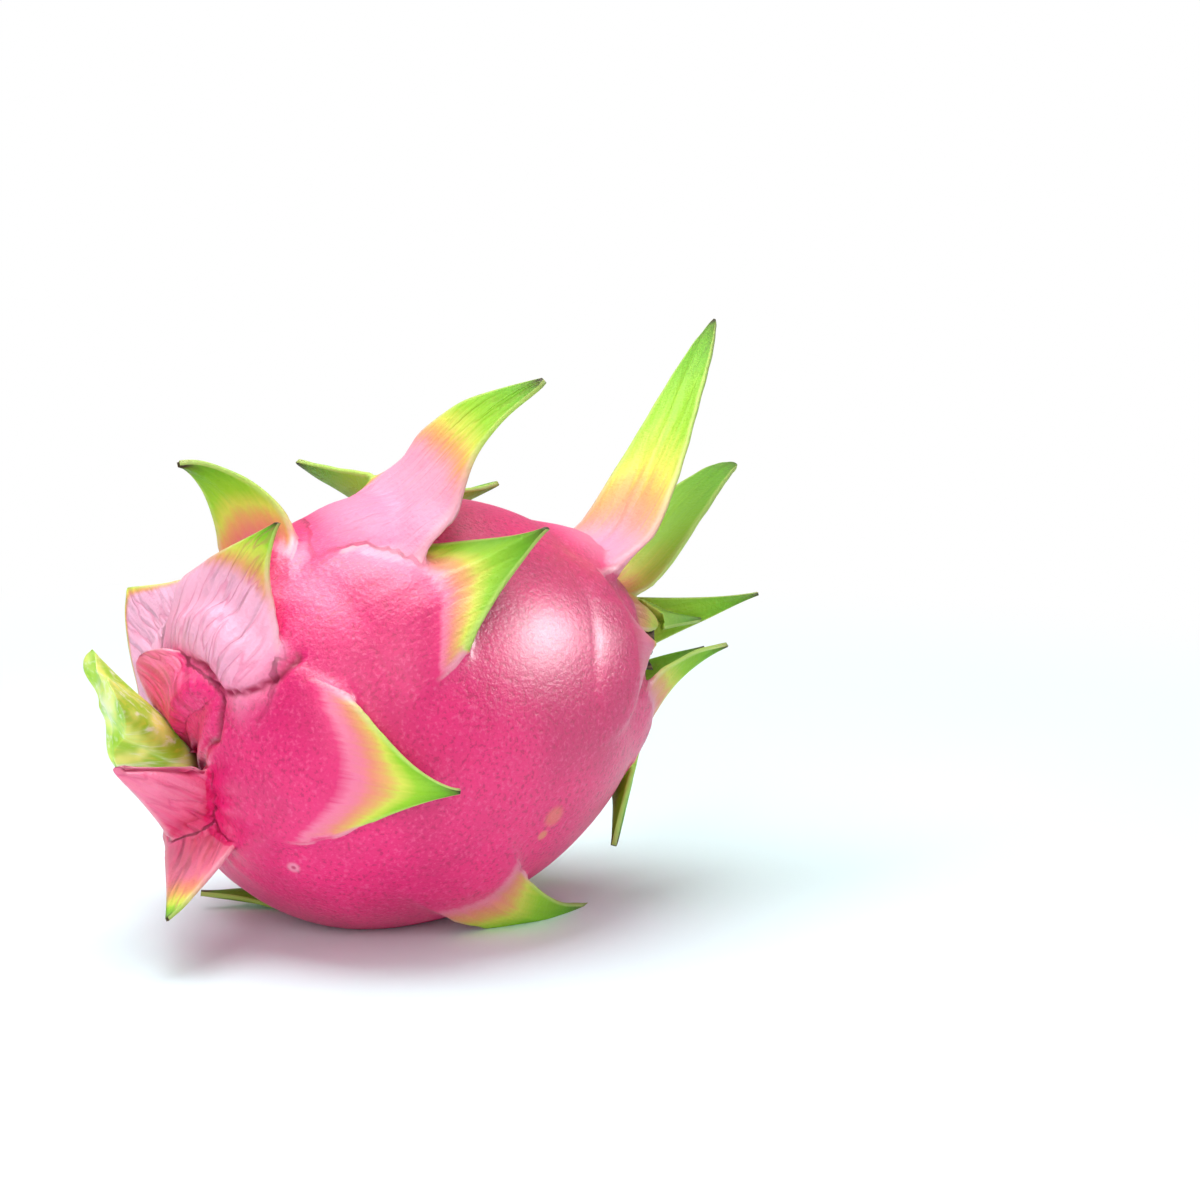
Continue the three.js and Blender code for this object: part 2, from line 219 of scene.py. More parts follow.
def middlePath(v, lift):
    # the middle line of a scale in small steps to both sides of its root: distance ahead and height
    step = scaleRule["pathStep"]
    reachBack = int((v["back"] + 2) / step)
    reachAhead = int((v["length"] + scaleRule["crescentDepth"] + 2) / step)
    ahead = [(0.0, 0.0)]
    for i in range(reachAhead):
        angle = lift((i + 0.5) * step)
        x, n = ahead[-1]
        ahead.append((x + math.cos(angle) * step, n + math.sin(angle) * step))
    behind = [(0.0, 0.0)]
    for i in range(reachBack):
        angle = lift(-(i + 0.5) * step)
        x, n = behind[-1]
        behind.append((x - math.cos(angle) * step, n - math.sin(angle) * step))
    line = behind[:0:-1] + ahead

    def at(goal):
        f = min(max(goal / step + reachBack, 0), len(line) - 1.001)
        i = int(f)
        t = f - i
        return (line[i][0] * (1 - t) + line[i + 1][0] * t, line[i][1] * (1 - t) + line[i + 1][1] * t)

    return at


def scaleSurface(v):
    # the middle surface of a scale at s ahead of its root and q from one margin (-1) to the other (1)
    along = math.radians(scaleRule["firstAlong"] + scaleRule["alongStep"] * v["step"] + v["nudge"][0])
    around = math.radians(scaleRule["firstAround"] - scaleRule["goldenTurn"] * v["step"] + v["nudge"][1])
    root, toFlower, toSide, outward, perRadian = skin(along, around)
    turn = math.radians(v["turn"])
    ct = math.cos(turn)
    st = math.sin(turn)
    heading = toFlower * ct + toSide * st
    flatSide = toSide * ct - toFlower * st
    roll = math.radians(v["roll"])
    side = flatSide * math.cos(roll) + outward * math.sin(roll)
    out = outward * math.cos(roll) - flatSide * math.sin(roll)

    def lift(s):
        if s < 0:
            return s / scaleRule["lyingRadius"]
        bend = math.radians(v["curl"]) * min(s / v["length"], 2) ** 2
        return math.radians(v["flare"]) * (1 - math.exp(-s / v["rise"])) + bend

    pathAt = middlePath(v, lift)
    widening = v["taper"] * v["root"] / v["length"]

    def widthAt(s):
        if s > 0:
            return scaleRule["tipHalfWidth"] + v["root"] * max(1 - s / v["length"], 0) ** v["taper"]
        wider = v["spread"] * (1 - math.exp(s * widening / v["spread"]))
        return scaleRule["tipHalfWidth"] + v["root"] + wider

    def point(s, q):
        l = q * widthAt(s)
        bent = crescentBack(l)
        lifted = s + bent
        px, pn = pathAt(lifted)
        angle = lift(lifted)
        ahead = max(s, 0)
        bow = (math.exp(-ahead / scaleRule["bowFade"]) / fruit["radius"]
               + scaleRule["keelBow"] * easeIn(s / scaleRule["bowStart"]))
        drop = l * l * bow / 2
        sideways = l + math.radians(v["lean"]) * ahead * ahead / v["length"]
        free = (root + heading * (px - bent + math.sin(angle) * drop) + out * (pn - math.cos(angle) * drop)
                + side * sideways)
        pole = scaleRule["fromPole"]
        a = min(max(along + (s * ct - l * st) / perRadian, pole), math.pi - pole)
        meanRadius = (max(outline(a)[1], scaleRule["smallestRadius"]) + outline(along)[1]) / 2
        b = around + (l * ct + s * st) / meanRadius
        return skinPoint(a, b).lerp(free, easeIn(lifted / scaleRule["liftLength"]))

    return point, widthAt


def scaleRelief(v, s, l, q, free):
    # creases along the scale, the ridge down its middle, the welts behind its margins and their waves;
    # the noise is read at another place for each scale and, for the waves, for each margin
    creaseOwn, waveOwn = v["step"] * 7.3, v["step"] * 3.1
    crease = noise.noise(Vector((l / reliefRule["creaseWidth"], s / reliefRule["creaseLength"], creaseOwn)))
    crease = ((1 - abs(crease) * reliefRule["creaseSharpness"]) * v["folds"]
              * math.exp(-max(s, 0) / (reliefRule["creaseFade"] * v["length"])))
    fromEdge = easeIn((s + v["back"]) / v["back"]) * (1 - q ** 4)
    ridge = v["keel"] * math.exp(-((l / reliefRule["keelWidth"]) ** 2)) * free
    fromSeam = (abs(q) - reliefRule["seamAt"]) / reliefRule["seamWidth"]
    ridge += v["seam"] * math.exp(-(fromSeam ** 2)) * (1 - free) * easeIn(1 + s / v["back"])
    wave = noise.noise(Vector((s / reliefRule["waveLength"], waveOwn, 4.0 if q > 0 else 9.0)))
    wave = v["wave"] * wave * abs(q) ** 3 * free
    return crease * fromEdge + ridge, wave


def finish(bm, name):
    bmesh.ops.recalc_face_normals(bm, faces=bm.faces[:])
    if bm.calc_volume(signed=True) < 0:
        bmesh.ops.reverse_faces(bm, faces=bm.faces[:])
    mesh = bpy.data.meshes.new(name)
    bm.to_mesh(mesh)
    bm.free()
    piece = bpy.data.objects.new(name, mesh)
    bpy.context.scene.collection.objects.link(piece)
    mesh.shade_smooth()
    return piece


def paintLayers(bm):
    # tone: -1 on plain skin, about 0 at a scale's crescent and 1 at its tip; margin: 1 at its edges;
    # pale and wrinkled: how pale and how wrinkled it is; place: mm across, mm along and number of the scale;
    # grown: the number of the scale that a face belongs to, 0 on plain skin
    floats = [bm.verts.layers.float.new(name) for name in ("tone", "margin", "pale", "wrinkled")]
    return floats, bm.verts.layers.float_vector.new("place"), bm.faces.layers.int.new("grown")


# the tones at a scale's crescent, where its pink ends and where its green is full, the same on every scale
toneMarks = {"crescent": -0.05, "pinkEnd": 0.03, "green": 0.42}


def toneAt(v, s, q):
    start, end, green = toneMarks["crescent"], toneMarks["pinkEnd"], toneMarks["green"]
    # the margins take the tone of a place further ahead, as the green reaches back along them
    s += v["cup"] * v["length"] * q * q * min(1, 1 - s / v["length"]) * easeIn(1 + s / v["back"])
    if s <= 0:
        return start + (1 + start) * s / v["back"]
    share = s / v["length"]
    if share < v["pink"]:
        return start + (end - start) * share / v["pink"]
    if share < v["green"]:
        return end + (green - end) * (share - v["pink"]) / (v["green"] - v["pink"])
    return green + (1 - green) * (share - v["green"]) / max(1 - v["green"], 0.01)


def makeScale(given):
    v = {**usualScale, **given}
    point, widthAt = scaleSurface(v)
    bm = bmesh.new()
    bmesh.ops.create_grid(bm, x_segments=scaleRule["columns"], y_segments=scaleRule["rows"], size=1)
    (tone, margin, pale, wrinkled), place, grown = paintLayers(bm)
    bmesh.ops.solidify(bm, geom=bm.faces[:], thickness=0.5)
    crowding = scaleRule["marginCrowding"]
    sink = scaleRule["bulgeSink"]
    h = 0.05        # a small step, in mm and as a share of the width
    for vert in bm.verts:
        q, y, z = vert.co
        q = math.sin(q * math.pi / 2) * crowding + q * (1 - crowding)      # more columns near the margins
        s = -v["back"] + (v["back"] + v["length"]) * (y + 1) / 2
        across = point(s, min(q + h, 1)) - point(s, max(q - h, -1))
        ahead = point(min(s + h, v["length"]), q) - point(min(s, v["length"] - h), q)
        normal = across.cross(ahead).normalized()
        l = q * widthAt(s)
        free = easeIn((s + crescentBack(l)) / scaleRule["liftLength"])
        toTip = min(max((v["length"] - s) / v["length"], 0), 1)
        thin = scaleRule["marginThickness"]
        crown = (1 - q * q) * (1 - v["roof"]) + (1 - abs(q)) * v["roof"]
        blade = (thin + (v["thick"] - thin) * crown * toTip ** 0.6) / 2
        bulge = v["field"] * (1 - 0.5 * q * q) * ((1 + sink) * easeIn((s + v["back"]) / v["back"]) - sink)
        relief, wave = scaleRelief(v, s, l, q, free)
        if abs(z) < 0.1:    # the grid itself becomes the outer side, what solidify added the inner one
            offset = bulge + (blade - bulge) * free + relief + wave
        else:
            sunk = scaleRule["rootSunk"]
            offset = -sunk + (sunk - blade + wave + relief * reliefRule["creaseUnder"]) * free
        vert.co = placed @ (point(s, q) + normal * offset)
        begun = easeIn(1.3 * (1 + s / v["back"]))
        inside = 1 - q ** 4
        vert[tone] = toneAt(v, s, q)
        vert[margin] = abs(q)
        vert[pale] = v["pale"] * begun * (inside + (1 - inside) * free)
        vert[wrinkled] = v["wrinkles"] * begun * inside
        vert[place] = (l, s, v["step"])
    number = v["step"] + 10     # above 0 for every scale
    for face in bm.faces:
        face[grown] = number
    return finish(bm, "scale%d" % number)


def makeBody():
    bm = bmesh.new()
    bmesh.ops.create_uvsphere(bm, u_segments=fruit["sides"], v_segments=fruit["rows"], radius=1)
    (tone, *_), place, _ = paintLayers(bm)
    endFlattening = 1.4     # lumps stand out a little more sideways than along the fruit
    for vert in bm.verts:
        along = math.acos(min(max(vert.co.z, -1), 1))
        around = math.atan2(vert.co.y, vert.co.x)
        point = skinPoint(along, around)
        r = outline(along)[1]
        lump = fruit["lumpHeight"] * noise.noise(point / fruit["lumpSize"])
        if along < 1:       # the puckers are at the stem end
            turnNoise = noise.noise(Vector((math.cos(around) * 2, math.sin(around) * 2, along * 3)))
            pucker = math.sin(fruit["puckerCount"] * around + fruit["puckerTwist"] * turnNoise)
            near = math.exp(-((r / fruit["puckerReach"]) ** 2))
            lump += fruit["puckerHeight"] * pucker * near * min(r / fruit["puckerStart"], 1)
        outward = Vector((point.x / endFlattening, point.y, point.z)).normalized()
        vert.co = placed @ (point + outward * lump)
        vert[tone] = -1
        vert[place] = (0, 0, 0)
    return finish(bm, "fruitSkin")


def wrapTube(name, sides, rows, placeOf):
    # a sphere wrapped onto a closed shape: share 0 to 1 from one end to the other, at an angle round its axis
    bm = bmesh.new()
    bmesh.ops.create_uvsphere(bm, u_segments=sides, v_segments=rows, radius=1)
    share = bm.verts.layers.float.new("share")
    for vert in bm.verts:
        down = math.acos(min(max(vert.co.z, -1), 1)) / math.pi
        angle = math.atan2(vert.co.y, vert.co.x)
        vert.co = placed @ placeOf(down, angle)
        vert[share] = down
    return finish(bm, name)


stem = {
    "start": (-45, -3, 2.4),    # its root in the recess, on the fruit's own axes
    "reach": 15.5,
    "rise": 1,                  # how far it goes up for each mm outward
    "rootRadius": 3,
    "endRadius": 11,
    "growth": 0.8,              # under 1 it widens early
    "flatness": 0.75,
    "wings": 3,                 # the ribs of such a stem
    "wingHeight": 0.24,
    "wingTwist": 0.6,           # radians
    "gap": 0.1,                 # left clear in the fruit round it
    "fibreHeight": 0.5,
    "ragged": 2.2,              # how uneven its cut end is
    "raggedFineness": 1.6,
    "startCap": 0.1,            # the share of the sphere that closes its root
    "endCap": 0.78,             # from this share on it closes the cut end
    "sides": 120,
    "rows": 90,
}


def stemPlace(extra):
    # extra makes the room for it, a little larger all round and smooth
    startCap = stem["startCap"]
    endCap = stem["endCap"]

    def place(share, angle):
        if share < startCap:
            t, part = 0, share / startCap
        elif share > endCap:
            t, part = 1, (1 - share) / (1 - endCap)
        else:
            t, part = (share - startCap) / (endCap - startCap), 1
        size = stem["rootRadius"] + (stem["endRadius"] - stem["rootRadius"]) * t ** stem["growth"] + extra
        wing = math.cos(stem["wings"] * angle - stem["wingTwist"] * t)
        r = size * (1 + stem["wingHeight"] * t * wing) * part
        x = stem["start"][0] - stem["reach"] * t + (extra if t == 0 else 0)
        if not extra:
            fibre = noise.noise(Vector((math.cos(angle) * 5, math.sin(angle) * 5, t * 2)))
            r += stem["fibreHeight"] * fibre * part * t
            fine = stem["raggedFineness"]
            around = Vector((math.cos(angle) * part * fine, math.sin(angle) * part * fine, 3))
            x -= stem["ragged"] * noise.noise(around) * t ** 4
        y = stem["start"][1] + stem["flatness"] * r * math.cos(angle)
        z = stem["start"][2] + stem["rise"] * stem["reach"] * t + r * math.sin(angle)
        return Vector((x, y, z))

    return place


driedFlower = {
    "start": 41,            # its root in the navel, along the fruit's own axis
    "length": 14,
    "rootRadius": 3.4,
    "rimRadius": 7.5,
    "rimDrop": 0.4,         # how much lower the rim is inside
    "cupFloorRadius": 3.0,
    "wall": 1.6,
    "cupDepth": 8,
    "lobes": 5,
    "lobeHeight": 0.14,     # share of the radius
    "rimWave": 1.4,
    "rimWaves": 3,
    "gap": 0.1,             # left clear in the fruit round it
    "roomAhead": 3,         # how far that room goes on past the rim
    "crumple": 0.7,
    "sides": 120,
    "rows": 100,
}


def flowerRing(x, size, angle):
    raised = min(max((x - driedFlower["start"]) / driedFlower["length"], 0), 1)
    ragged = 1 + driedFlower["lobeHeight"] * raised * math.cos(driedFlower["lobes"] * angle + 1)
    back = driedFlower["rimWave"] * raised * raised * math.sin(driedFlower["rimWaves"] * angle)
    return Vector((x + back, size * ragged * math.cos(angle), size * ragged * math.sin(angle)))


def flowerPlace(extra):
    start = driedFlower["start"]
    end = start + driedFlower["length"]
    inside = end - driedFlower["cupDepth"]
    rootRadius = driedFlower["rootRadius"]
    rim = driedFlower["rimRadius"]
    drop = driedFlower["rimDrop"]
    floorRadius = driedFlower["cupFloorRadius"]
    ahead = end + driedFlower["roomAhead"]
    # share, place on the axis and radius of each turn of the cup's outline, or of the room for it
    turns = [(0, start, 0), (0.08, start, rootRadius), (0.5, end, rim),
             (0.56, end - drop, rim - driedFlower["wall"]), (0.9, inside, floorRadius), (1, inside, 0)]
    if extra:
        turns = [(0, start - extra, 0), (0.1, start - extra, rootRadius + extra), (0.7, end, rim + extra),
                 (0.85, ahead, rim + extra), (1, ahead, 0)]

    def place(share, angle):
        for (s0, x0, r0), (s1, x1, r1) in zip(turns, turns[1:]):
            if share <= s1:
                t = (share - s0) / (s1 - s0)
                break
        x = x0 + (x1 - x0) * t
        size = r0 + (r1 - r0) * t
        if not extra:
            raised = (x - start) / (end - start)
            size += driedFlower["crumple"] * raised * noise.noise(
                Vector((math.cos(angle) * 4, math.sin(angle) * 4, x / 5))) * min(size / 3, 1)
        return flowerRing(x, size, angle)

    return place


def joined(piece, others, operation):
    # others joined to the piece or cut out of it, then deleted
    group = bpy.data.collections.new("toFuse")
    bpy.context.scene.collection.children.link(group)
    for other in others:
        bpy.context.scene.collection.objects.unlink(other)
        group.objects.link(other)
    fuse = piece.modifiers.new("fuse", "BOOLEAN")
    fuse.operation = operation
    fuse.operand_type = "COLLECTION"
    fuse.collection = group
    fuse.solver = "MANIFOLD"
    mesh = bpy.data.meshes.new_from_object(piece.evaluated_get(bpy.context.evaluated_depsgraph_get()))
    piece.modifiers.clear()
    piece.data = mesh
    for other in others:
        bpy.data.objects.remove(other)
    bpy.data.collections.remove(group)


def largestBody(bm):
    # drops the small closed pockets that are left between neighbouring roots
    left = set(bm.verts)
    islands = []
    while left:
        island = {left.pop()}
        border = list(island)
        while border:
            near = {edge.other_vert(vert) for vert in border for edge in vert.link_edges} - island
            island |= near
            border = list(near)
        left -= island
        islands.append(island)
    islands.sort(key=len)
    for island in islands[:-1]:
        bmesh.ops.delete(bm, geom=list(island), context="VERTS")


# creases pressed into the skin round the stem and painted with shade, through points on the fruit's own axes
stemCreases = {
    "width": 0.85, "depth": 1.2, "reach": 4,
    "lines": [
        [(-45, 4, 25.5), (-43.5, 12, 24.5), (-43, 18, 19.5), (-46, 17, 11), (-46, -3, 3)],
        [(-43, 18, 20), (-40, 24, 20.5), (-34, 27, 22), (-29, 28, 25)],
        [(-47, 9, 4), (-50, 14, 5), (-64, 13.5, 10)],
    ],
}


def pressCreases(bm, tone, creased):
    # only plain skin and the scales' fields are pressed in, the free scales just take the painted shade
    unplaced = placed.inverted()
    bm.normal_update()
    for vert in bm.verts:
        at = unplaced @ vert.co
        nearest = stemCreases["reach"]
        for line in stemCreases["lines"]:
            for start, end in zip(line, line[1:]):
                share = geometry.intersect_point_line(at, Vector(start), Vector(end))[1]
                foot = Vector(start).lerp(Vector(end), min(max(share, 0), 1))
                nearest = min(nearest, (at - foot).length)
        if nearest < stemCreases["reach"]:
            vert[creased] = math.exp(-((nearest / stemCreases["width"]) ** 2))
            if vert[tone] < 0:
                vert.co -= vert.normal * (vert[creased] * stemCreases["depth"] * mm)


def softenSeams(piece):
    # the skin runs on into each scale without a seam
    bm = bmesh.new()
    bm.from_mesh(piece.data)
    bmesh.ops.triangulate(bm, faces=bm.faces[:])
    largestBody(bm)
    creased = bm.verts.layers.float.new("creased")
    tone, margin, pale, wrinkled = [bm.verts.layers.float[name]
                                    for name in ("tone", "margin", "pale", "wrinkled")]
    place, grown = bm.verts.layers.float_vector["place"], bm.faces.layers.int["grown"]
    seam = {vert for vert in bm.verts if len({face[grown] for face in vert.link_faces}) > 1}
    for layer in (tone, margin, pale, wrinkled, place):
        for vert in seam:
            near = [edge.other_vert(vert) for edge in vert.link_edges]
            near = [other for other in near if other not in seam] or near
            vert[layer] = sum((other[layer] for other in near[1:]), near[0][layer]) / len(near)
    # rings of vertices round the seam, each one edge wider; the narrow ones are smoothed most
    rings = [set(seam)]
    for _ in range(5):
        ring = set(rings[-1])
        for vert in rings[-1]:
            ring |= {edge.other_vert(vert) for edge in vert.link_edges}
        rings.append(ring)
    lowest = 0.6 * mm       # the flat spot stays as it is, and so do the green tips
    for ring, rounds in ((rings[5], 1), (rings[3], 3), (rings[2], 3), (rings[1], 3)):
        chosen = [vert for vert in ring if vert.co.z > lowest and vert[tone] < 0.5]
        for _ in range(rounds):
            bmesh.ops.smooth_vert(bm, verts=chosen, factor=0.5,
                                  use_axis_x=True, use_axis_y=True, use_axis_z=True)
            for vert in chosen:
                near = [edge.other_vert(vert) for edge in vert.link_edges]
                for layer in (tone, pale, wrinkled):
                    vert[layer] = 0.5 * vert[layer] + 0.5 * sum(other[layer] for other in near) / len(near)
    pressCreases(bm, tone, creased)
    bm.to_mesh(piece.data)
    bm.free()
    piece.data.shade_smooth()


def makeFloorBlock():
    # cuts the flat spot on which the fruit rests
    width = 0.4
    height = 0.1
    bm = bmesh.new()
    bmesh.ops.create_cube(bm, size=1)
    for vert in bm.verts:
        vert.co = Vector((vert.co.x * width, vert.co.y * width, (vert.co.z - 0.5) * height))
    return finish(bm, "floorBlock")


peel = makeBody()
blades = [makeScale(given) for given in scales]
print("grown: skin and", len(blades), "scales")
joined(peel, blades, "UNION")
rooms = [wrapTube("stemRoom", 36, 24, stemPlace(stem["gap"])),
         wrapTube("flowerRoom", 36, 24, flowerPlace(driedFlower["gap"])), makeFloorBlock()]
joined(peel, rooms, "DIFFERENCE")
softenSeams(peel)
peel.name = "dragonFruitPeel"
print("fused: peel of", len(peel.data.polygons), "faces")

cutStem = wrapTube("cutStemFlesh", stem["sides"], stem["rows"], stemPlace(0))
flowerCup = wrapTube("driedFlowerCup", driedFlower["sides"], driedFlower["rows"], flowerPlace(0))
print("made: stem and dried flower")


def linear(hexText):
    # sRGB hex to the linear values that Blender mixes
    parts = [int(hexText[i:i + 2], 16) / 255 for i in (1, 3, 5)]
    return tuple(c / 12.92 if c <= 0.04045 else ((c + 0.055) / 1.055) ** 2.4 for c in parts) + (1,)


def addNode(tree, kind, inputs=None, **settings):
    # inputs are numbers, vectors, sRGB hex colours or outputs of other nodes
    node = tree.nodes.new("ShaderNode" + kind)
    for name, value in settings.items():
        setattr(node, name, value)
    for name, value in (inputs or {}).items():
        if isinstance(value, bpy.types.NodeSocket):
            tree.links.new(node.inputs[name], value)
        else:
            node.inputs[name].default_value = linear(value) if isinstance(value, str) else value
    return node


def newMaterial(name, **fixed):
    material = bpy.data.materials.new(name)
    material.use_nodes = True
    shader = material.node_tree.nodes["Principled BSDF"]
    for socket, value in fixed.items():
        shader.inputs[socket.replace("_", " ")].default_value = value
    return material, material.node_tree, shader


def paintedOver(tree, colour, layers):
    # each layer: a mask, its values where the layer is missing and full, its largest share, its colour
    for mask, none, full, share, layerColour in layers:
        part = addNode(tree, "MapRange", {"Value": mask, "From Min": none, "From Max": full, "To Max": share},
                       interpolation_type="SMOOTHSTEP")
        colour = addNode(tree, "Mix", {0: part.outputs[0], 6: colour, 7: layerColour},
                         data_type="RGBA").outputs[2]
    return colour


peelLook = {
    "deep": "#d8146a",
    "skin": "#ee1a76",
    "light": "#f5669b",
    "pit": "#c40e5a",
    "pale": "#fbb9d6",
    # painted shade in the valleys of the wrinkles
    "crease": "#d0246c",
    # painted shade in the creases pressed round the stem
    "creaseShade": "#a30d46",
    "margin": "#f7b4c0",        # the thin dry edge of a scale where it runs down the skin
    "marginTip": "#c8e274",
    "recessShade": "#6d0c2a",        # painted shade in the recess round the stem
    "recessShadeReach": 13,          # mm from the stem's root at which the painted shade begins
    "recessShadeCore": 6,
    "patchSize": 26,            # mm, of the paler and deeper patches
    "patchUnevenness": 0.2,     # how far they shift the colours of a scale
    "poreSize": 0.95,           # mm between pores, coarser than real ones, which are too fine to show
    "poreDepth": 0.35,          # mm, as the next two
    "veinDepth": 0.4,
    "wrinkleDepth": 4,
    "streakWidth": 0.8,         # mm between the veins of a scale
    "streakChange": 0.06,       # how fast they change along it, per mm
    "streakOwn": 1.7,           # how far they differ from scale to scale
    "wrinkleWidth": 3.2,        # mm between wrinkles
    "wrinkleChange": 0.07,
    "wrinkleOwn": 2.3,
    "wrinkleWaver": 0.3,
    "toneRoughness": 0.14,      # how unevenly the colours change over
    "spotCore": 0.4,            # share of a mark's size that has its full colour
    "fullyDull": 0.4,           # the paleness or tone from which a part is dull
    # on the taut skin, and on the pale wrinkled parts and the green ones, which are duller
    "gloss": {"Roughness": (0.45, 0.6), "Coat Weight": (0.5, 0.05), "Specular IOR Level": (0.35, 0.3)},
}
# the colours of the tones: here 0 is plain skin, 0.5 about a scale's crescent and 1 its tip
peelTones = [
    (0.0, "#e5186f"), (0.47, "#ea1e74"), (0.497, "#f5799f"), (0.53, "#f2808f"), (0.57, "#ee8f74"),
    (0.625, "#e9ad62"), (0.68, "#d8dc52"), (0.76, "#9bd02a"), (0.9, "#72b21c"), (0.965, "#5f8a20"),
    (1.0, "#3d3219"),
]

# the middle of the recess round the stem, which the painted shade there is centred on
grooveMiddle = placed @ Vector(stem["start"])


def spotPlace(along, around):
    return placed @ skinPoint(math.radians(along), math.radians(around))


# small marks that the skin got as it grew: a pale ring scar and yellowish bruises
skinSpots = [
    {"place": spotPlace(42, -32), "size": 1.8, "strength": 0.7, "colour": "#f2a6bd"},
    {"place": spotPlace(42, -32), "size": 0.8, "strength": 0.9, "colour": "#c22a60"},
    {"place": spotPlace(104, -28), "size": 3.2, "strength": 0.5, "colour": "#e8895a"},
    {"place": spotPlace(101, -33), "size": 1.6, "strength": 0.5, "colour": "#e8b05c"},
]


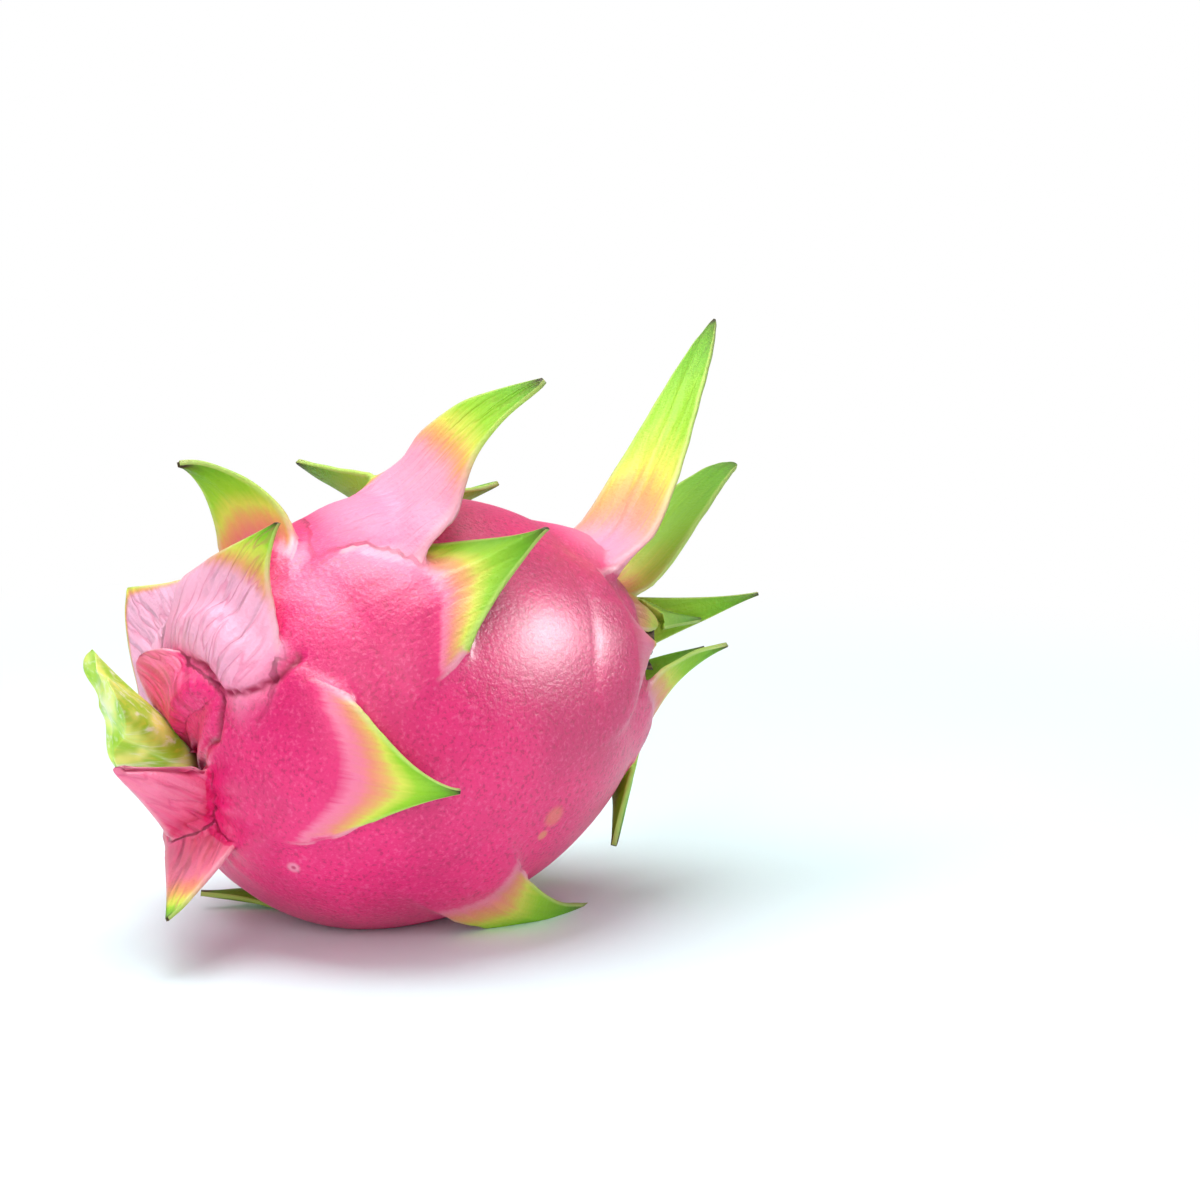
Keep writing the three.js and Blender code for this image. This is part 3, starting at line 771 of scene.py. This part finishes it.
def waxyPitayaPeel():
    # Fresh dragon fruit peel: waxy and smooth, with fine pores, so a soft gloss over a strong colour.
    material, tree, shader = newMaterial("waxyPitayaPeel", IOR=1.45, Coat_Roughness=0.36,
                                         Subsurface_Weight=0.12, Subsurface_Radius=(1.0, 0.35, 0.3),
                                         Subsurface_Scale=2.5 * mm)
    where = addNode(tree, "TexCoord").outputs["Object"]
    tone, margin, pale, wrinkled, creased = [addNode(tree, "Attribute", attribute_name=name).outputs["Fac"]
                                             for name in ("tone", "margin", "pale", "wrinkled", "creased")]
    place = addNode(tree, "Attribute", attribute_name="place").outputs["Vector"]
    patches = addNode(tree, "TexNoise", {"Vector": where, "Scale": 1 / (peelLook["patchSize"] * mm),
                                         "Detail": 3.0}).outputs[0]
    pores = addNode(tree, "TexNoise", {"Vector": where, "Scale": 1 / (peelLook["poreSize"] * mm),
                                       "Detail": 2.0, "Roughness": 0.6}).outputs[0]
    streakPlace = addNode(tree, "Mapping", {"Vector": place, "Scale": (
        1 / peelLook["streakWidth"], peelLook["streakChange"], peelLook["streakOwn"])})
    streaks = addNode(tree, "TexNoise", {"Vector": streakPlace.outputs[0], "Scale": 1.0,
                                         "Detail": 2.0}).outputs[0]
    wrinklePlace = addNode(tree, "Mapping", {"Vector": place, "Scale": (
        1 / peelLook["wrinkleWidth"], peelLook["wrinkleChange"], peelLook["wrinkleOwn"])})
    wrinkleNoise = addNode(tree, "TexNoise", {"Vector": wrinklePlace.outputs[0], "Scale": 1.0, "Detail": 1.5,
                                              "Distortion": peelLook["wrinkleWaver"]}).outputs[0]
    # valleys where the noise passes its middle value, which get painted shade
    fromMiddle = addNode(tree, "Math", {0: wrinkleNoise, 1: 0.5}, operation="SUBTRACT").outputs[0]
    ridges = addNode(tree, "Math", {0: fromMiddle}, operation="ABSOLUTE").outputs[0]
    shadedValleys = addNode(tree, "MapRange", {"Value": ridges, "From Min": 0.05, "From Max": 0.0},
                      interpolation_type="SMOOTHSTEP").outputs[0]
    shadedValleys = addNode(tree, "Math", {0: shadedValleys, 1: wrinkled}, operation="MULTIPLY").outputs[0]
    folds = addNode(tree, "Math", {0: ridges, 1: wrinkled}, operation="MULTIPLY").outputs[0]

    # on the free part of a scale the veins and patches make the colours change over unevenly
    onBlade = addNode(tree, "MapRange", {"Value": tone, "From Min": -0.2, "From Max": 0.1},
                      interpolation_type="SMOOTHSTEP").outputs[0]
    byVeins, byPatches = peelLook["toneRoughness"], peelLook["patchUnevenness"]
    uneven = addNode(tree, "Math", {0: streaks, 1: byVeins, 2: -0.5 * byVeins},
                     operation="MULTIPLY_ADD").outputs[0]
    uneven = addNode(tree, "Math", {0: patches, 1: byPatches, 2: uneven}, operation="MULTIPLY_ADD").outputs[0]
    uneven = addNode(tree, "Math", {0: uneven, 1: 0.5 * byPatches}, operation="SUBTRACT").outputs[0]
    unevenTone = addNode(tree, "Math", {0: uneven, 1: onBlade, 2: tone}, operation="MULTIPLY_ADD").outputs[0]
    toneHalf = addNode(tree, "Math", {0: unevenTone, 1: 0.5, 2: 0.5}, operation="MULTIPLY_ADD").outputs[0]
    ramp = addNode(tree, "ValToRGB", {"Fac": toneHalf})
    marks = ramp.color_ramp.elements
    marks.remove(marks[1])
    for i, (at, markColour) in enumerate(peelTones):
        mark = marks[0] if i == 0 else marks.new(at)
        mark.position = at
        mark.color = linear(markColour)
    # a pale scale is pale up to where its yellow begins
    paleTone = addNode(tree, "MapRange", {"Value": unevenTone, "From Min": 0.3, "From Max": 0.05},
                       interpolation_type="SMOOTHSTEP").outputs[0]
    palePlaces = addNode(tree, "Math", {0: pale, 1: paleTone}, operation="MULTIPLY").outputs[0]
    # the dry edge fades out down the skin
    edgeShare = addNode(tree, "MapRange", {"Value": tone, "From Min": -0.75, "From Max": -0.1},
                        interpolation_type="SMOOTHSTEP").outputs[0]
    edge = addNode(tree, "Math", {0: edgeShare, 1: margin}, operation="MULTIPLY").outputs[0]
    edgeColour = paintedOver(tree, peelLook["margin"], [(tone, 0.1, 0.5, 1, peelLook["marginTip"])])
    fromStem = addNode(tree, "VectorMath", {0: where, 1: grooveMiddle}, operation="DISTANCE").outputs["Value"]
    layers = [
        (patches, 0.35, 0.65, 1, peelLook["skin"]),
        (pores, 0.53, 0.7, 0.38, peelLook["light"]),
        (pores, 0.46, 0.32, 0.8, peelLook["pit"]),
        (tone, -0.2, 0, 1, ramp.outputs["Color"]),
        (palePlaces, 0, 1, 1, peelLook["pale"]),
        # painted shade in the valleys of the wrinkles
        (shadedValleys, 0.1, 1, 0.3, peelLook["crease"]),
        (edge, 0.86, 0.97, 0.6, edgeColour),
        # painted shade in the recess round the stem
        (fromStem, peelLook["recessShadeReach"] * mm, peelLook["recessShadeCore"] * mm, 0.92, peelLook["recessShade"]),
        # painted shade in the creases pressed round the stem
        (creased, 0.1, 0.9, 0.95, peelLook["creaseShade"]),
    ]
    for spot in skinSpots:
        away = addNode(tree, "VectorMath", {0: where, 1: spot["place"]},
                       operation="DISTANCE").outputs["Value"]
        size = spot["size"] * mm
        layers.append((away, size, peelLook["spotCore"] * size, spot["strength"], spot["colour"]))
    tree.links.new(shader.inputs["Base Color"], paintedOver(tree, peelLook["deep"], layers))
    dullShare = addNode(tree, "Math", {0: pale, 1: tone}, operation="MAXIMUM").outputs[0]
    for socket, (taut, dull) in peelLook["gloss"].items():
        value = addNode(tree, "MapRange", {"Value": dullShare, "From Max": peelLook["fullyDull"],
                                           "To Min": taut, "To Max": dull})
        tree.links.new(shader.inputs[socket], value.outputs[0])
    bump = addNode(tree, "Bump", {"Height": pores, "Strength": 0.8,
                                  "Distance": peelLook["poreDepth"] * mm}).outputs[0]
    veins = addNode(tree, "Math", {0: streaks, 1: onBlade}, operation="MULTIPLY").outputs[0]
    bump = addNode(tree, "Bump", {"Height": veins, "Normal": bump, "Strength": 0.5,
                                  "Distance": peelLook["veinDepth"] * mm}).outputs[0]
    bump = addNode(tree, "Bump", {"Height": folds, "Normal": bump, "Strength": 1.0,
                                  "Distance": peelLook["wrinkleDepth"] * mm}).outputs[0]
    tree.links.new(shader.inputs["Normal"], bump)
    return material


stemLook = {
    "fibreSize": 1.6,       # mm between fibres
    "fibreStretch": 0.12,   # how much slower they change along than across
    "fibreTurn": 38,        # degrees that they rise to the cut end
    "fibreDepth": 0.4,      # mm
    "patchSize": 7,         # mm
    "green": "#a2d62e",
    "bright": "#ecfa80",
    "cream": "#fefff0",
    "yellow": "#f2e650",
    "brown": "#6b4a28",
}


def cutStemFlesh():
    # Cut stem: moist green flesh with paler fibres along it and a brown scar at its root.
    material, tree, shader = newMaterial("moistStemFlesh", Roughness=0.5, Subsurface_Weight=0.1,
                                         Subsurface_Scale=2 * mm)
    where = addNode(tree, "TexCoord").outputs["Object"]
    share = addNode(tree, "Attribute", attribute_name="share").outputs["Fac"]
    stretched = addNode(tree, "Mapping", {"Vector": where, "Scale": (stemLook["fibreStretch"], 1, 1),
                                          "Rotation": (0, math.radians(stemLook["fibreTurn"]), 0)})
    fibres = addNode(tree, "TexNoise", {"Vector": stretched.outputs[0], "Detail": 4.0,
                                        "Scale": 1 / (stemLook["fibreSize"] * mm)}).outputs[0]
    broad = addNode(tree, "TexNoise", {"Vector": where, "Scale": 1 / (stemLook["patchSize"] * mm),
                                       "Detail": 2.0}).outputs[0]
    tree.links.new(shader.inputs["Base Color"], paintedOver(tree, stemLook["green"], [
        (broad, 0.35, 0.65, 1, stemLook["bright"]),
        (fibres, 0.5, 0.75, 0.6, stemLook["cream"]),
        (fibres, 0.46, 0.3, 0.35, stemLook["yellow"]),
        (share, 0.84, 0.98, 0.7, stemLook["cream"]),
        (share, 0.26, 0.14, 1, stemLook["brown"]),
    ]))
    bump = addNode(tree, "Bump", {"Height": fibres, "Strength": 0.5,
                                  "Distance": stemLook["fibreDepth"] * mm}).outputs[0]
    tree.links.new(shader.inputs["Normal"], bump)
    return material


petalLook = {
    "creaseSize": 1.4,      # mm between creases
    "creaseStretch": 0.25,  # how much slower they change along than across
    "creaseDepth": 0.6,     # mm
    "dark": "#1d130d",
    "middle": "#4b3423",
    "pale": "#8a6b4a",
}


def driedPetal():
    # Withered flower: papery and dull, dark brown with paler creases.
    material, tree, shader = newMaterial("witheredPetal", Roughness=0.85)
    where = addNode(tree, "TexCoord").outputs["Object"]
    stretched = addNode(tree, "Mapping", {"Vector": where, "Scale": (petalLook["creaseStretch"], 1, 1)})
    creases = addNode(tree, "TexNoise", {"Vector": stretched.outputs[0], "Detail": 5.0,
                                         "Scale": 1 / (petalLook["creaseSize"] * mm)}).outputs[0]
    tree.links.new(shader.inputs["Base Color"], paintedOver(tree, petalLook["dark"], [
        (creases, 0.3, 0.5, 1, petalLook["middle"]),
        (creases, 0.5, 0.7, 1, petalLook["pale"]),
    ]))
    bump = addNode(tree, "Bump", {"Height": creases, "Strength": 0.8,
                                  "Distance": petalLook["creaseDepth"] * mm}).outputs[0]
    tree.links.new(shader.inputs["Normal"], bump)
    return material


for piece, material, node, slotName in (
    (peel, waxyPitayaPeel(), "fruit", "peel"),
    (cutStem, cutStemFlesh(), "cut_stem", "stem_flesh"),
    (flowerCup, driedPetal(), "dried_flower", "dried_petal"),
):
    piece.data.materials.clear()
    piece.data.materials.append(material)
    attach(piece, "root")
    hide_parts(node)

# the places and sizes of the lights are in metres; a gleam shows in the gloss but lights nothing else
studio = {
    "floorColour": "#e4f8fc",
    "floorReach": 6,
    "floorFade": (0.16, 0.42),  # m from the fruit over which the floor goes over into the white behind
    "ambient": 0.33,            # light from all round
    "floorLight": 0.55,         # light that the white part of the floor gives
    "topLight": {"place": (-0.05, 0.12, 0.75), "power": 6.2, "size": 0.6, "gleamOnly": False},
    "frontLight": {"place": (-0.45, -0.6, 0.35), "power": 2.8, "size": 0.5, "gleamOnly": False},
    "topGleam": {"place": (-0.05, 0.05, 0.7), "power": 7.0, "size": 0.6, "gleamOnly": True},
    "sideGleam": {"place": (0.55, -0.32, 0.38), "power": 9.0, "size": 0.24, "gleamOnly": True},
}


def makeStage():
    bm = bmesh.new()
    bmesh.ops.create_grid(bm, x_segments=1, y_segments=1, size=studio["floorReach"])
    floor = finish(bm, "studioFloor")
    material, tree, shader = newMaterial("paleFloor", Base_Color=linear(studio["floorColour"]), Roughness=0.8)
    where = addNode(tree, "TexCoord").outputs["Object"]
    away = addNode(tree, "VectorMath", {0: where}, operation="LENGTH").outputs["Value"]
    nearEnd, farEnd = studio["floorFade"]
    whiteShare = addNode(tree, "MapRange", {"Value": away, "From Min": nearEnd, "From Max": farEnd},
                         interpolation_type="SMOOTHSTEP")
    seen = addNode(tree, "LightPath").outputs["Is Camera Ray"]
    shineStrength = addNode(tree, "MapRange", {"Value": seen, "To Min": studio["floorLight"], "To Max": 1})
    shine = addNode(tree, "Emission", {"Color": "#ffffff", "Strength": shineStrength.outputs[0]})
    fade = addNode(tree, "MixShader", {0: whiteShare.outputs[0], 1: shader.outputs[0], 2: shine.outputs[0]})
    tree.links.new(tree.nodes["Material Output"].inputs["Surface"], fade.outputs[0])
    floor.data.materials.append(material)
    world = bpy.data.worlds.new("paleStudio")
    world.use_nodes = True
    background = world.node_tree.nodes["Background"]
    background.inputs["Color"].default_value = (1, 1, 1, 1)
    # white where the camera sees it, but a softer light from all round
    seen = addNode(world.node_tree, "LightPath").outputs["Is Camera Ray"]
    strength = addNode(world.node_tree, "MapRange", {"Value": seen, "To Min": studio["ambient"], "To Max": 1})
    world.node_tree.links.new(background.inputs["Strength"], strength.outputs[0])
    bpy.context.scene.world = world


def addSoftLight(name, soft, target):
    data = bpy.data.lights.new(name, "AREA")
    data.energy = soft["power"]
    data.size = soft["size"]
    light = bpy.data.objects.new(name, data)
    light.location = soft["place"]
    light.rotation_euler = (target - light.location).to_track_quat("-Z", "Y").to_euler()
    if soft["gleamOnly"]:
        light.visible_diffuse = False
    bpy.context.scene.collection.objects.link(light)


# The camera stands low in front, turned a little to the stem side.
view = {
    "azimuth": -26,
    "elevation": 10,
    "lens": 100,
    "sensor": 36,
    "distance": 690,
    "frameSize": 1200,          # pixels
    "bodyPixel": (405, 708),    # where the middle of the body is seen
}


def makeCamera():
    a = math.radians(view["azimuth"])
    e = math.radians(view["elevation"])
    back = Vector((math.sin(a) * math.cos(e), -math.cos(a) * math.cos(e), math.sin(e)))
    right = Vector((math.cos(a), math.sin(a), 0))
    up = back.cross(right)
    pixels = view["lens"] / view["sensor"] * view["frameSize"]
    pixelX, pixelY = view["bodyPixel"]
    offRight = (pixelX - view["frameSize"] / 2) / pixels * view["distance"]
    offUp = -(pixelY - view["frameSize"] / 2) / pixels * view["distance"]
    data = bpy.data.cameras.new("studioCamera")
    data.lens = view["lens"]
    data.sensor_width = view["sensor"]
    camera = bpy.data.objects.new("studioCamera", data)
    place = (middle + back * view["distance"] - right * offRight - up * offUp) * mm
    turned = Matrix((right, up, back)).transposed().to_4x4()
    camera.matrix_world = Matrix.Translation(place) @ turned
    bpy.context.scene.collection.objects.link(camera)
    bpy.context.scene.camera = camera


makeStage()
for lightName in ("topLight", "frontLight", "topGleam", "sideGleam"):
    addSoftLight(lightName, studio[lightName], middle * mm)
makeCamera()
bpy.context.scene.view_settings.view_transform = "Standard"
print("lit: stage, lights and camera")
